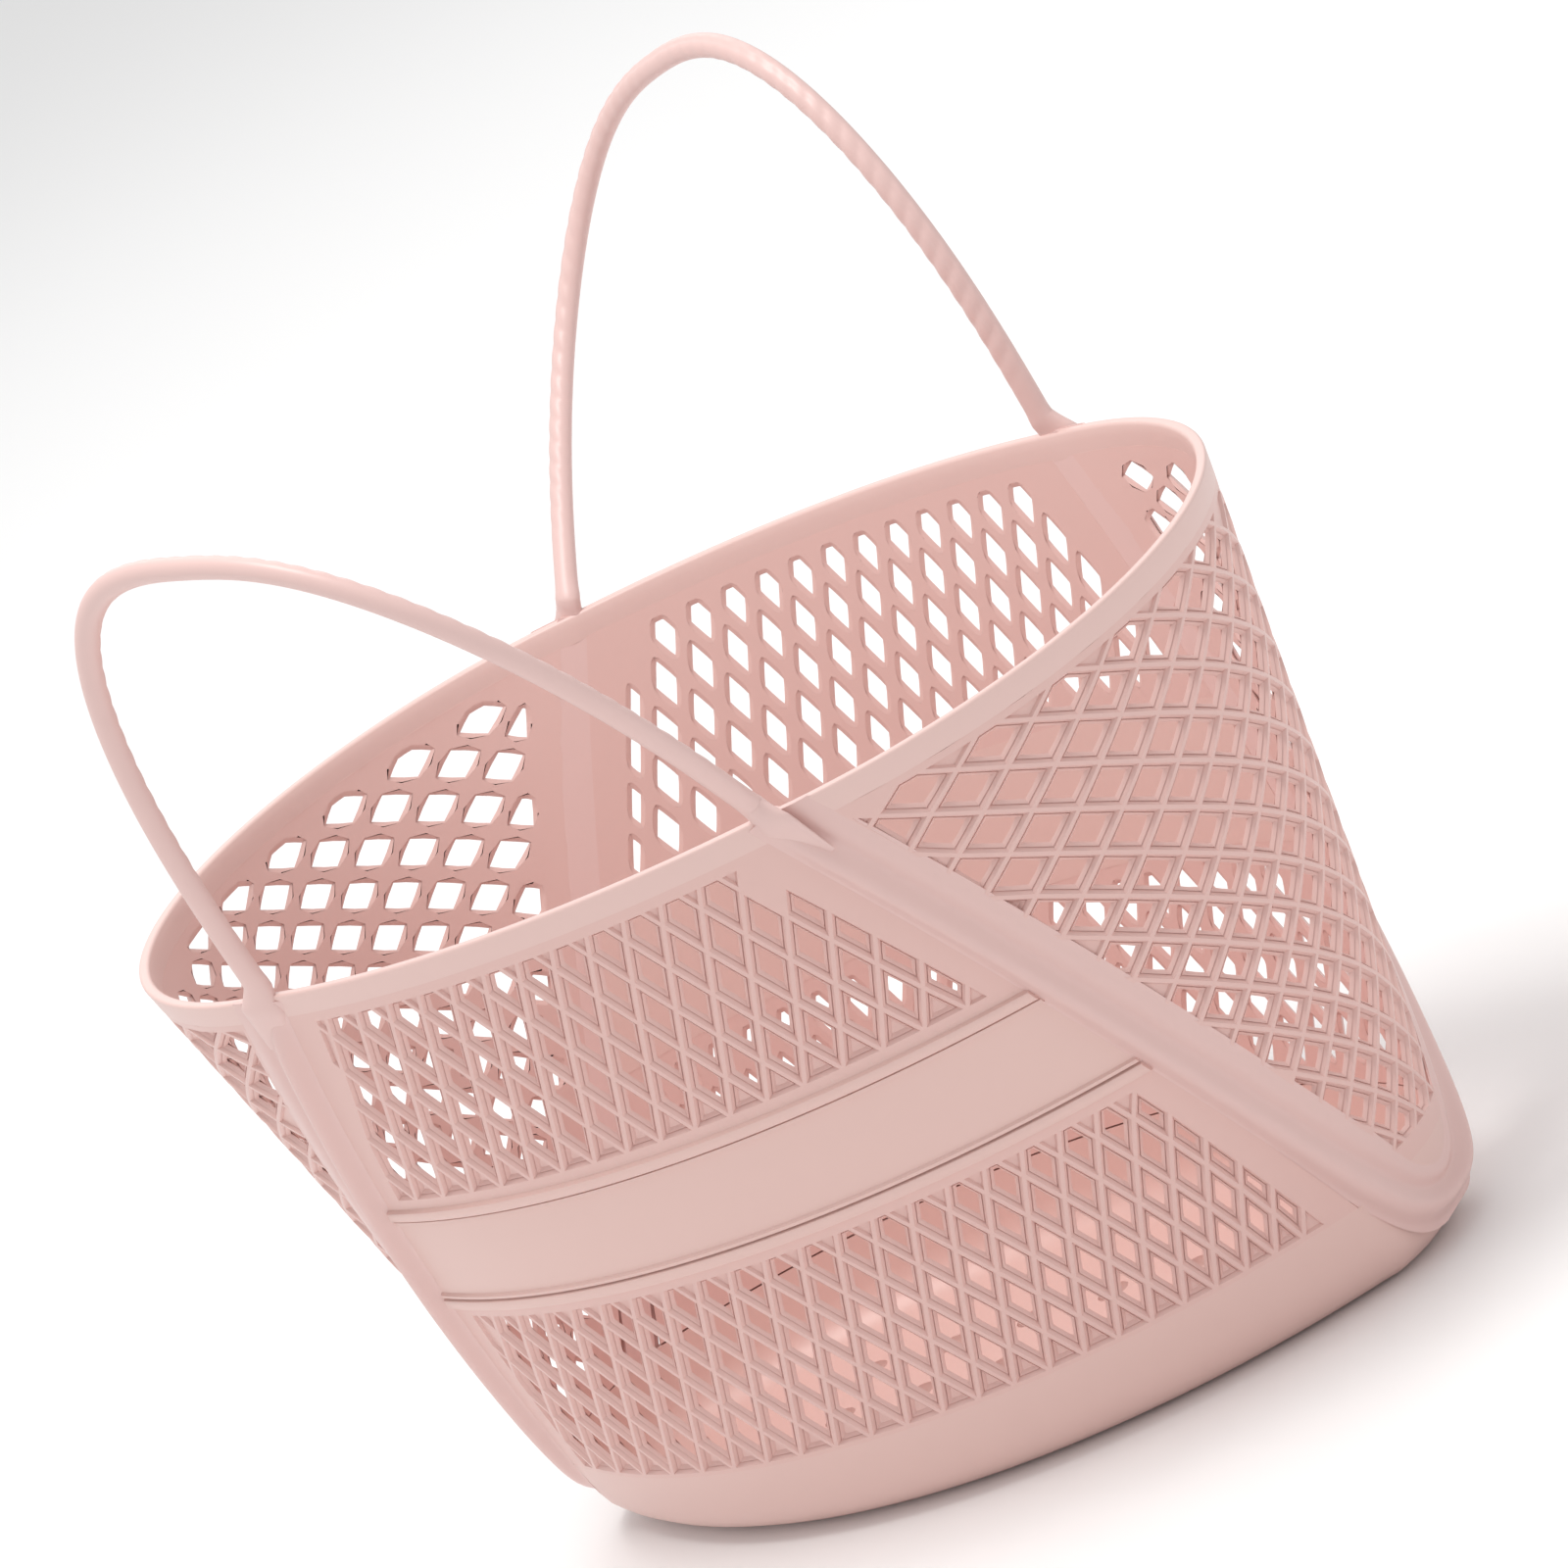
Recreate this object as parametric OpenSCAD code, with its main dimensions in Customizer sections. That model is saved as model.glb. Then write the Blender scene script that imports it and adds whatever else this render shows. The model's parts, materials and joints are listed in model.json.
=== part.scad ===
// Soft plastic shower caddy: a one-piece moulded tote with lattice walls, four straps that run
// from the base tips up to the rim, and two loop handles that bend at their roots.
// Z is up, X runs along the basket, and the front wall faces -Y.

/* [Basket] */
// Height of the rim above the surface it stands on
rim_h = 203; // [150:1:260]
// Length of the mouth
mouth_l = 320; // [260:1:400]
// Width of the mouth
mouth_w = 234; // [190:1:285]
// Length of the base, measured at the sharp corner before rounding
base_l = 262; // [210:1:320]
// Width of the base, measured at the sharp corner before rounding
base_w = 140; // [115:1:170]
// Radius of the front wall's curve in plan, at the base
front_base_r = 186; // [155:1:230]
// Wall thickness
wall = 2.4; // [1.8:0.1:3.2]

/* [Base] */
// Height of the smooth skirt round the base
skirt_h = 26.5; // [20:0.5:36]
// Radius of the rounded bottom edge
base_round = 14; // [8:0.5:16]
// Thickness of the floor
floor_t = 3; // [2:0.1:5]
// Diameter of each drain hole
drain_d = 9; // [5:0.5:12]
// Drain holes along the floor
drain_cols = 6; // [2:2:8]
// Spacing of the drain holes along the floor
drain_pitch_x = 26; // [20:1:28]
// Spacing of the drain hole rows across the floor
drain_pitch_y = 24; // [16:1:28]

/* [Rim] */
// Height of the smooth band below the rim's top edge
rim_band_h = 7; // [5:0.5:14]
// Thickness of the rim band
rim_t = 3; // [2.4:0.1:4.5]

/* [Straps and handles] */
// Distance between the two roots of one handle
handle_span = 155; // [125:1:190]
// How far the corner between front and end wall stops inside the end of the base
corner_inset = 6; // [4:0.5:9]
// How far past the end of the base the line of a strap meets the ground
strap_foot_out = 1; // [0:0.5:3]
// How far the line of a strap bows outwards between rim and base
strap_bow = 7; // [1:0.5:12]
// Width of a strap where it runs down the wall
strap_w = 9.5; // [7:0.5:14]
// How far a strap stands proud of the wall
strap_proud = 3.4; // [1.5:0.1:5]
// Height of a handle's arch above its roots, measured to its centre line
handle_h = 124; // [95:1:160]
// Width of the handle's section
handle_w = 6.8; // [5:0.1:9]
// Thickness of the handle's section
handle_t = 5.4; // [4:0.1:7]
// Squareness of the arch, where 2 is an ellipse
arch_power = 2.7; // [2:0.1:4]
// Lean of the front handle away from the mouth, in degrees
front_lean = 17; // [0:1:30]
// How much more the front handle leans at its right root, in degrees
front_twist = 14; // [-25:1:25]
// Lean of the back handle away from the mouth, in degrees
back_lean = 26; // [0:1:30]
// How much more the back handle leans at its right root, in degrees
back_twist = -23; // [-25:1:25]
// Sideways shift of each arch's top
arch_shift = -4.5; // [-15:0.5:15]
// Clearance round the bending knuckle at each handle root
root_gap = 0.3; // [0.2:0.05:0.6]

/* [Front and back walls] */
// Bottom of the smooth band across the wall
band_z0 = 91; // [80:0.5:100]
// Top of the smooth band across the wall
band_z1 = 129.5; // [115:0.5:145]
// Height of the raised bead along each edge of the band
bead_h = 5; // [3:0.5:8]
// How far a bead stands proud of the wall
bead_proud = 1; // [0.4:0.1:2]
// Spacing of the diamond holes along the wall
cell_w = 11; // [9:0.1:18]
// Rows of diamonds in each lattice, counting the rows that sit between
cell_rows = 5; // [4:1:10]

/* [End walls] */
// Angle between neighbouring diamond columns
fan_angle = 12.5; // [8:0.1:18]
// Height of one diamond in the end lattice
end_cell_h = 13.4; // [10:0.1:20]

/* [Lattice] */
// Part of each cell that is open
open_share = 0.6; // [0.4:0.02:0.72]
// Smooth border between a lattice and the strap beside it
border = 5.5; // [3:0.5:12]

/* [Hidden] */
pink = "#DDB9B2";
pink_shade = "#D3ABA4";
pink_light = "#E6C6C0";
$fn = 96;

// The front wall is part of an upright cone whose axis stands behind the basket's centre.
front_slope = (mouth_w - base_w) / 2 / rim_h;
front_axis_y = front_base_r - base_w / 2;
function front_r(z) = front_base_r + front_slope * z;
function front_y(x, z) = sqrt(pow(front_r(z), 2) - x * x) - front_axis_y;

// Each end wall is part of a tilted cone that meets the front wall where the strap runs.
strap_rim_x = handle_span / 2;
corner_x = base_l / 2 - corner_inset;
function end_centre(tip, x, y) = (tip * tip - x * x - y * y) / (2 * (tip - x));
function rim_centre(squash) = end_centre(mouth_l / 2, strap_rim_x, front_y(strap_rim_x, rim_h) / squash);
function base_centre(squash) = end_centre(base_l / 2, corner_x, front_y(corner_x, 0) / squash);
// A leaning cone's level sections are ellipses, a little narrower across than they are long.
tip_slope = (mouth_l - base_l) / 2 / rim_h;
function inner_slope(rim_at, base_at) = tip_slope - 2 * (rim_at - base_at) / rim_h;
function cone_squash(inner) =
    sqrt(1 - pow(sin((atan(inner) - atan(tip_slope)) / 2) / cos((atan(inner) + atan(tip_slope)) / 2), 2));
end_squash = cone_squash(inner_slope(rim_centre(1), base_centre(1)));
rim_c = rim_centre(end_squash);
base_c = base_centre(end_squash);
function end_c(z) = base_c + (rim_c - base_c) * z / rim_h;
function end_tip(z) = (base_l + (mouth_l - base_l) * z / rim_h) / 2;
function end_r(z) = end_tip(z) - end_c(z);
cone_half = (atan(inner_slope(rim_c, base_c)) + atan(tip_slope)) / 2;
cone_tilt = (atan(inner_slope(rim_c, base_c)) - atan(tip_slope)) / 2;
apex_z = -end_r(0) * rim_h / (end_r(rim_h) - end_r(0));
apex_x = end_tip(apex_z);

// Seen from the front, a strap follows a large circle through its two ends.
strap_foot_x = base_l / 2 + strap_foot_out;
strap_chord = norm([strap_foot_x - strap_rim_x, rim_h]);
strap_r = strap_chord * strap_chord / 8 / strap_bow + strap_bow / 2;
chord_out = [rim_h, strap_foot_x - strap_rim_x] / strap_chord;
strap_c = [strap_rim_x + strap_foot_x, rim_h] / 2 + chord_out * (strap_bow - strap_r);
function strap_x(z) = strap_c[0] + sqrt(strap_r * strap_r - pow(z - strap_c[1], 2));

rim_z0 = rim_h - rim_band_h;
knuckle_r = handle_t / 2 + 0.7;
axis_z = rim_h + root_gap + knuckle_r;
axis_y = front_y(strap_rim_x, rim_h) + strap_proud - knuckle_r;
far = mouth_l;

// ---- outline of the whole basket at one height, moved in by a distance ----
end_steps = 12;
side_steps = 12;
// Where the outline passes from the end wall to the front wall.
function meet_x(z) = corner_x - (corner_x - strap_rim_x) * pow(z / rim_h, 3);
function quarter(z, inset) =
    let (re = end_r(z) - inset, rf = front_r(z) - inset,
         a = acos((meet_x(z) - end_c(z)) / end_r(z)), b = acos(meet_x(z) / front_r(z)))
    concat([for (i = [0:end_steps]) let (t = a * i / end_steps)
                [end_c(z) + re * cos(t), end_squash * re * sin(t)]],
           [for (i = [1:side_steps]) let (t = b + (90 - b) * i / side_steps)
                [rf * cos(t), rf * sin(t) - front_axis_y]]);
function outline(z, inset) =
    let (q = quarter(z, inset), n = len(q))
    concat(q, [for (i = [n - 2:-1:0]) [-q[i][0], q[i][1]]],
           [for (i = [1:n - 1]) [-q[i][0], -q[i][1]]],
           [for (i = [n - 2:-1:1]) [q[i][0], -q[i][1]]]);

// A closed solid through rings of points, each ring a list of the same length.
module loft(rings) {
    n = len(rings[0]);
    m = len(rings);
    polyhedron(points = [for (r = rings) each r],
               faces = concat([[for (i = [0:n - 1]) i]],
                              [for (k = [0:m - 2], i = [0:n - 1]) let (j = (i + 1) % n)
                                   [k * n + i, (k + 1) * n + i, (k + 1) * n + j, k * n + j]],
                              [[for (i = [n - 1:-1:0]) (m - 1) * n + i]]), convexity = 6);
}
// A wall that closes on itself: rings go up the outside and down the inside.
module loop_wall(rings) {
    n = len(rings[0]);
    m = len(rings);
    polyhedron(points = [for (r = rings) each r],
               faces = [for (k = [0:m - 1], i = [0:n - 1]) let (j = (i + 1) % n, l = (k + 1) % m)
                            [k * n + i, l * n + i, l * n + j, k * n + j]], convexity = 6);
}
function at_height(pts, z) = [for (p = pts) [p[0], p[1], z]];

// ---- base and rim ----
round_steps = 6;
function foot_ring(r, inset, z0, t) =
    at_height(outline(z0 + r * (1 - sin(t)), inset + r * (1 - cos(t))), z0 + r * (1 - sin(t)));
module base_tray() {
    inner_round = base_round - wall;
    outside = concat([for (i = [round_steps:-1:0]) foot_ring(base_round, 0, 0, 90 * i / round_steps)],
                     [at_height(outline(skirt_h, 0), skirt_h)]);
    inside = concat([at_height(outline(skirt_h, wall), skirt_h)],
                    [for (i = [0:round_steps]) foot_ring(inner_round, wall, floor_t, 90 * i / round_steps)]);
    color(pink) difference() {
        loft(concat(outside, inside));
        for (i = [0:drain_cols - 1], row = [-1:1])
            translate([(i - (drain_cols - 1) / 2) * drain_pitch_x, row * drain_pitch_y, -1])
                cylinder(h = floor_t + 2, d = drain_d);
    }
}
module rim_band() {
    color(pink_light)
        loop_wall([at_height(outline(rim_z0, 0), rim_z0), at_height(outline(rim_h, 0), rim_h),
                   at_height(outline(rim_h, rim_t), rim_h), at_height(outline(rim_z0, rim_t), rim_z0)]);
}

// ---- walls ----
module front_shell(inside, outside) {
    translate([0, front_axis_y, 0]) difference() {
        cylinder(h = rim_h, r1 = front_r(0) + outside, r2 = front_r(rim_h) + outside);
        cylinder(h = rim_h, r1 = front_r(0) - inside, r2 = front_r(rim_h) - inside);
    }
}
module end_cone(grow) {
    reach = (rim_h - apex_z) / cos(cone_tilt) * 1.4;
    start = -apex_z * 0.4;
    translate([apex_x, 0, apex_z]) rotate([0, -cone_tilt, 0]) translate([0, 0, start])
        cylinder(h = reach - start, r1 = start * tan(cone_half) + grow, r2 = reach * tan(cone_half) + grow);
}
module end_shell(inside, outside) {
    difference() {
        end_cone(outside);
        end_cone(-inside);
    }
}
// Part of the front view between two heights and inside both straps, moved in by a distance.
module front_area(z0, z1, inset) {
    intersection() {
        translate([-far, z0]) square([2 * far, z1 - z0]);
        translate(strap_c) circle(r = strap_r - strap_w / 2 - inset, $fn = 360);
        translate([-strap_c[0], strap_c[1]]) circle(r = strap_r - strap_w / 2 - inset, $fn = 360);
    }
}
module through_front() {
    rotate([90, 0, 0]) linear_extrude(height = far) children();
}
module front_piece(z0, z1) {
    intersection() {
        front_shell(wall, 0);
        through_front() front_area(z0, z1, 0);
    }
}
function inside_straps(x, z, inset) = abs(x) < strap_x(z) - strap_w / 2 - inset;
module front_holes(z0, z1) {
    row_h = (z1 - z0) / (cell_rows + 1);
    half_w = cell_w / 2 * open_share;
    half_h = row_h * open_share;
    reach = ceil(mouth_l / 2 / cell_w);
    for (row = [1:cell_rows], i = [-reach:reach])
        let (x = (i + (row % 2) / 2) * cell_w, z = z0 + row * row_h)
            if (inside_straps(abs(x) + half_w, z, border))
                translate([x, z]) polygon([[half_w, 0], [0, half_h], [-half_w, 0], [0, -half_h]]);
}
module front_lattice(z0, z1) {
    difference() {
        front_piece(z0, z1);
        through_front() front_holes(z0, z1);
    }
}
module front_middle() {
    front_piece(band_z0, band_z1);
    for (z = [band_z0, band_z1 - bead_h])
        intersection() {
            front_shell(0, bead_proud);
            through_front() front_area(z, z + bead_h, 0);
        }
}
module to_back() {
    rotate([0, 0, 180]) children();
}
module front_upper_lattice() { color(pink_shade) front_lattice(band_z1, rim_z0); }
module front_band() { color(pink) front_middle(); }
module front_lower_lattice() { color(pink_shade) front_lattice(skirt_h, band_z0); }
module back_upper_lattice() { to_back() front_upper_lattice(); }
module back_band() { to_back() front_band(); }
module back_lower_lattice() { to_back() front_lower_lattice(); }

// Seen from the front, everything beyond the strap's line plus a distance.
module beyond_strap(z0, z1, offset_x) {
    difference() {
        translate([0, z0]) square([far, z1 - z0]);
        translate(strap_c) circle(r = strap_r + offset_x, $fn = 360);
    }
}
module through_both() {
    translate([0, far / 2, 0]) rotate([90, 0, 0]) linear_extrude(height = far) children();
}
// Height of the rows, and the widest angle at which a column still clears the strap.
function end_angle_free(z) =
    let (x = strap_x(z) + strap_w / 2 + border * 1.4) acos(min(1, (x - end_c(z)) / end_r(z)));
module end_wall() {
    rows = floor((rim_z0 - skirt_h - border) / (end_cell_h / 2));
    z_first = rim_z0 - rows * end_cell_h / 2;
    reach = ceil(90 / fan_angle);
    difference() {
        intersection() {
            end_shell(wall, 0);
            through_both() beyond_strap(skirt_h, rim_z0, strap_w / 2);
        }
        for (row = [1:rows - 1])
            let (z = z_first + row * end_cell_h / 2, half_w = end_r(z) * sin(fan_angle / 2) * open_share)
                for (i = [-reach:reach])
                    let (a = (i + (row % 2) / 2) * fan_angle)
                        if (abs(a) + fan_angle / 2 * open_share < end_angle_free(z))
                            translate([end_c(z), 0, z]) rotate([90, 0, 90 + a])
                                translate([0, 0, end_r(z) / 2]) linear_extrude(height = end_r(z))
                                    polygon([[half_w, 0], [0, end_cell_h / 2 * open_share],
                                             [-half_w, 0], [0, -end_cell_h / 2 * open_share]]);
    }
}
module right_end_lattice() { color(pink_shade) end_wall(); }
module left_end_lattice() { to_back() right_end_lattice(); }

// ---- straps: a U that runs from the front rim, under the end of the basket, to the back rim ----
module strap_line(z0, z1) {
    difference() {
        beyond_strap(z0, z1, -strap_w / 2);
        beyond_strap(0, rim_h * 2, strap_w / 2);
    }
}
module strap() {
    intersection() {
        end_shell(wall, strap_proud);
        through_both() strap_line(skirt_h, rim_z0);
    }
    intersection() {
        end_shell(0, strap_proud);
        through_both() strap_line(base_round / 2, skirt_h);
    }
    // Beside the rim the strap stands on both walls, so it is clear of the front and back walls too.
    difference() {
        intersection() {
            end_shell(0, strap_proud);
            through_both() strap_line(rim_z0, rim_h);
        }
        for (side = [-1, 1])
            translate([0, side * front_axis_y, 0])
                cylinder(h = rim_h + 1, r1 = front_r(0), r2 = front_r(rim_h + 1));
    }
}
module right_strap() { color(pink) strap(); }
module left_strap() { to_back() right_strap(); }

// ---- handles: an arch whose plane leans and twists, swept with an oval section ----
arch_steps = 56;
section_sides = 10;
root_blend = 26;
function lean_at(x, lean, twist) = lean + twist * x / strap_rim_x;
function arch_point(t, lean, twist) =
    let (x = -strap_rim_x * sign(cos(t)) * pow(abs(cos(t)), 2 / arch_power),
         s = handle_h * pow(sin(t), 2 / arch_power), a = lean_at(x, lean, twist))
    [x + arch_shift * s / handle_h, -s * sin(a), s * cos(a)];
// The rings stand closer together near the roots, where the arch is steepest.
function arch_angle(u) = u < 0.5 ? 90 * pow(2 * u, 1.5) : 180 - 90 * pow(2 - 2 * u, 1.5);
function unit(v) = v / norm(v);
function arch_ring(t, lean, twist) =
    let (p = arch_point(t, lean, twist), dt = 0.4,
         along = unit(arch_point(min(180, t + dt), lean, twist) - arch_point(max(0, t - dt), lean, twist)),
         a = lean_at(p[0], lean, twist), out = [0, -cos(a), -sin(a)],
         across = unit(cross(along, out)), face = cross(across, along),
         w = handle_w + (strap_w - handle_w) * pow(max(0, 1 - norm([0, p[1], p[2]]) / root_blend), 2))
    [for (i = [section_sides - 1:-1:0]) let (q = 360 * (i + 0.5) / section_sides)
        p + across * w / 2 * cos(q) + face * handle_t / 2 * sin(q)];
module handle(lean, twist) {
    translate([0, -axis_y, axis_z]) {
        loft([for (k = [0:arch_steps])
                  arch_ring(arch_angle(k / arch_steps), lean, twist)]);
        for (side = [-1, 1])
            translate([side * strap_rim_x - strap_w / 2, 0, 0]) rotate([0, 90, 0])
                cylinder(h = strap_w, r = knuckle_r);
    }
}
module front_handle() { color(pink_light) handle(front_lean, front_twist); }
module back_handle() { color(pink_light) mirror([0, 1, 0]) handle(back_lean, back_twist); }

base_tray();
rim_band();
front_upper_lattice();
front_band();
front_lower_lattice();
back_upper_lattice();
back_band();
back_lower_lattice();
left_end_lattice();
right_end_lattice();
left_strap();
right_strap();
front_handle();
back_handle();
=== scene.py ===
import json
import math

import bmesh
import bpy
from mathutils import Matrix, Vector


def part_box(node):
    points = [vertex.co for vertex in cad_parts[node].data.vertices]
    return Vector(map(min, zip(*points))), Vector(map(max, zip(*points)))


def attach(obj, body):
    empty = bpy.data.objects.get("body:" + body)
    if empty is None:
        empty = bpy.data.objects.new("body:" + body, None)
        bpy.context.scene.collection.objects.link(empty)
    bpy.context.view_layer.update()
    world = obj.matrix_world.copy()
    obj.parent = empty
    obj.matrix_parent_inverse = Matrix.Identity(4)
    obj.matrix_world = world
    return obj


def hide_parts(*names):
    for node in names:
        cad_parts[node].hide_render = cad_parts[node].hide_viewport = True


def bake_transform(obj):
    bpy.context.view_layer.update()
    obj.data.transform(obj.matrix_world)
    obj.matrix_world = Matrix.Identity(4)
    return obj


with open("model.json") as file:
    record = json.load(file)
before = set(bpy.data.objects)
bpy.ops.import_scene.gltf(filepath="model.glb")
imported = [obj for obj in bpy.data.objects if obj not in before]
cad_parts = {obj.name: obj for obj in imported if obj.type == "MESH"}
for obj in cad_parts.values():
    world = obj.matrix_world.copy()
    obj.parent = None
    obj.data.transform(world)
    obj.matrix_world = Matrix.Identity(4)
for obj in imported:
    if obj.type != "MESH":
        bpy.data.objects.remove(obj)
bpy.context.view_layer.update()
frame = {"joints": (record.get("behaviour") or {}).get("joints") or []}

bl_info = {
    "name": "Soft Lattice Shower Caddy",
    "version": (1, 0, 0),
    "blender": (4, 5, 0),
    "location": "View3D > Sidebar > Caddy",
    "description": "Builds a soft plastic shower caddy with lattice walls and two loop handles",
    "category": "Object",
}

MM = 0.001
UP = Vector((0, 0, 1))
HALF_TURN = Matrix.Rotation(math.pi, 4, "Z")

# ---- what the frame says: heights, and the two ends of the basket's straight lines ----
RIM_LOW, RIM_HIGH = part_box("rim_band")
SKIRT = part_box("base_tray")[1]
BAND_LOW, BAND_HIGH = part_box("front_band")
HINGE = {j["child"]: Vector(j["pos_m"]) for j in frame["joints"]}


def at_ground(at_rim, at_skirt):
    """Follows the straight line through the rim and the skirt's top down to the ground."""
    share = SKIRT.z / RIM_HIGH.z
    return (at_skirt - at_rim * share) / (1 - share)


BASE_HALF_L = at_ground(RIM_HIGH.x, SKIRT.x)
BASE_HALF_W = at_ground(RIM_HIGH.y, SKIRT.y)


def length(name, default, description):
    return bpy.props.FloatProperty(name=name, description=description, default=default, unit="LENGTH",
                                   subtype="DISTANCE", precision=4)


def angle(name, degrees, description):
    return bpy.props.FloatProperty(name=name, description=description, default=math.radians(degrees),
                                   unit="ROTATION", subtype="ANGLE")


def tint(name, default, description):
    return bpy.props.FloatVectorProperty(name=name, description=description, default=default, size=3,
                                         subtype="COLOR", min=0, max=1)


class CaddySizes(bpy.types.PropertyGroup):
    """The sizes that shape the basket, its relief and its handles."""

    front_radius: length("Front radius", 0.186, "Radius of the front wall in plan, at the ground")
    corner_inset: length("Corner inset", 0.006, "How far the wall's corner stops inside the base's end")
    handle_span: length("Handle span", 0.155, "Distance between the two roots of one handle")
    strap_foot_out: length("Strap foot", 0.001, "How far past the base's end a strap meets the ground")
    strap_bow: length("Strap bow", 0.007, "How far a strap's line bows outwards")
    strap_half: length("Strap half width", 0.00475, "Half the width of the wall under a strap")
    tip_lift: length("Strap tip", 0.0090, "How much higher a strap's crest rounds the base's end")
    strap_proud: length("Strap height", 0.0041, "How far a strap stands proud of the wall")
    wall: length("Wall", 0.0024, "Thickness of the walls")
    rim_wall: length("Rim thickness", 0.0030, "Thickness of the rim band")
    base_round: length("Base round", 0.014, "Radius of the rounded bottom edge")
    floor: length("Floor", 0.003, "Thickness of the floor")
    drain: length("Drain hole", 0.009, "Diameter of each drain hole")
    drain_pitch_x: length("Drain pitch along", 0.026, "Spacing of the drain holes along the floor")
    drain_pitch_y: length("Drain pitch across", 0.024, "Spacing of the drain holes across the floor")
    upper_pitch: length("Upper column", 0.0106, "Width of one diamond in the upper front lattice")
    upper_row: length("Upper row", 0.0230, "Height of one diamond in the upper front lattice")
    upper_node: length("Upper first row", 0.1300, "Height of the upper lattice's lowest crossings")
    lower_pitch: length("Lower column", 0.0111, "Width of one diamond in the lower front lattice")
    lower_row: length("Lower row", 0.0217, "Height of one diamond in the lower front lattice")
    lower_node: length("Lower first row", 0.0164, "Height of the lower lattice's lowest crossings")
    end_row: length("End row", 0.0135, "Height of one diamond in the end lattices")
    end_node: length("End first row", 0.0207, "Height of the end lattice's lowest crossings")
    end_low: length("End lattice bottom", 0.0315, "Height at which the end lattice starts")
    end_middle: angle("End middle", -15.5, "Direction of the end lattice's middle column at its foot")
    end_lean: bpy.props.FloatProperty(name="End lean", description="Turn of the columns per metre of height",
                                      default=0.80)
    fan: angle("Fan", 12.5, "Angle between the end lattice's columns")
    front_border: length("Front border", 0.0055, "Smooth strip between the front lattice and a strap")
    border_lean: bpy.props.FloatProperty(name="Border lean", description="Widening of the strip with height",
                                         default=0.06)
    end_border: length("End border", 0.0040, "Strip from the end lattice to a strap's line, at the ground")
    end_border_lean: bpy.props.FloatProperty(name="End border lean", description="Its widening with height",
                                             default=0.043)
    crest: length("Crest", 0.00055, "Half width of the flat crest along each lattice bar")
    relief: length("Relief", 0.0018, "Depth of the stepped sides of each lattice bar")
    handle_rise: length("Handle rise", 0.124, "Height of a handle's arch above its roots")
    handle_w: length("Handle width", 0.0066, "Width of the handle's section")
    handle_t: length("Handle thickness", 0.0052, "Thickness of the handle's section")
    arch_shift: length("Arch shift", -0.0045, "Sideways shift of each arch's top")
    arch_power: bpy.props.FloatProperty(name="Arch squareness", description="2 gives an elliptical arch",
                                        default=2.7, min=2, max=4)
    rope_pitch: length("Rope pitch", 0.0064, "Length of one turn of the rope pattern inside a handle")


class CaddyColours(bpy.types.PropertyGroup):
    """The plastic's colours."""

    body: tint("Body", (0.790, 0.535, 0.490), "The walls, straps and base")
    deep: tint("Deep", (0.700, 0.380, 0.345), "The plastic where light has passed through it")
    # Painted highlight: the rim and handles are the same plastic as the walls; this lighter copy of it stands
    # in for the extra light they catch.
    pale: tint("Pale", (0.810, 0.560, 0.515), "The rim and the handles")
    floor: tint("Floor", (0.93, 0.93, 0.93), "The studio floor")


# ---- the basket's shape ----
class Wall:
    """A cone's wall. Its centre and radius change evenly with height; if the centre moves, the cone
    lies tilted and each level section is a little narrower across than along."""

    def __init__(self, face, side, centre, centre_slope, radius, radius_slope):
        self.face, self.side = Vector(face), Vector(side)
        self.centre0, self.centre_slope = centre, centre_slope
        self.radius0, self.radius_slope = radius, radius_slope
        outer = math.atan(centre_slope + radius_slope)
        inner = math.atan(radius_slope - centre_slope)
        self.half = (outer + inner) / 2
        tilt = (inner - outer) / 2
        self.squash = math.sqrt(1 - (math.sin(tilt) / math.cos(self.half)) ** 2)
        apex_z = -radius / radius_slope
        self.apex = self.face * (centre + centre_slope * apex_z) + UP * apex_z
        self.axis = UP * math.cos(tilt) - self.face * math.sin(tilt)
        self.front = self.face * math.cos(tilt) + UP * math.sin(tilt)

    def centre(self, z):
        return self.centre0 + self.centre_slope * z

    def radius(self, z):
        return self.radius0 + self.radius_slope * z

    def normal(self, angle):
        rise = self.centre_slope * math.cos(angle) + self.radius_slope
        across = self.side * math.sin(angle) / self.squash
        return (self.face * math.cos(angle) + across - UP * rise).normalized()

    def point(self, angle, z, depth=0.0):
        flat = self.face * math.cos(angle) + self.side * math.sin(angle) * self.squash
        base = self.face * self.centre(z) + flat * self.radius(z) + UP * z
        return base + self.normal(angle) * depth

    def flatten(self, angle, z):
        """Unrolls a point of the wall onto a plane, with every length kept."""
        d = self.point(angle, z) - self.apex
        turn = math.atan2(d.dot(self.side), d.dot(self.front)) * math.sin(self.half)
        return Vector((d.length * math.sin(turn), d.length * math.cos(turn), 0))

    def roll(self, co):
        """Rolls a point of the unrolled plane back onto the wall; its third value is height above it."""
        turn = math.atan2(co.x, co.y) / math.sin(self.half)
        reach = math.hypot(co.x, co.y)
        flat = self.front * math.cos(turn) + self.side * math.sin(turn)
        p = self.apex + self.axis * reach * math.cos(self.half) + flat * reach * math.sin(self.half)
        return self.point(self.angle_at(p), p.z, co.z)

    def angle_at(self, p):
        return math.atan2(p.dot(self.side) / self.squash, p.dot(self.face) - self.centre(p.z))


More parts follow.
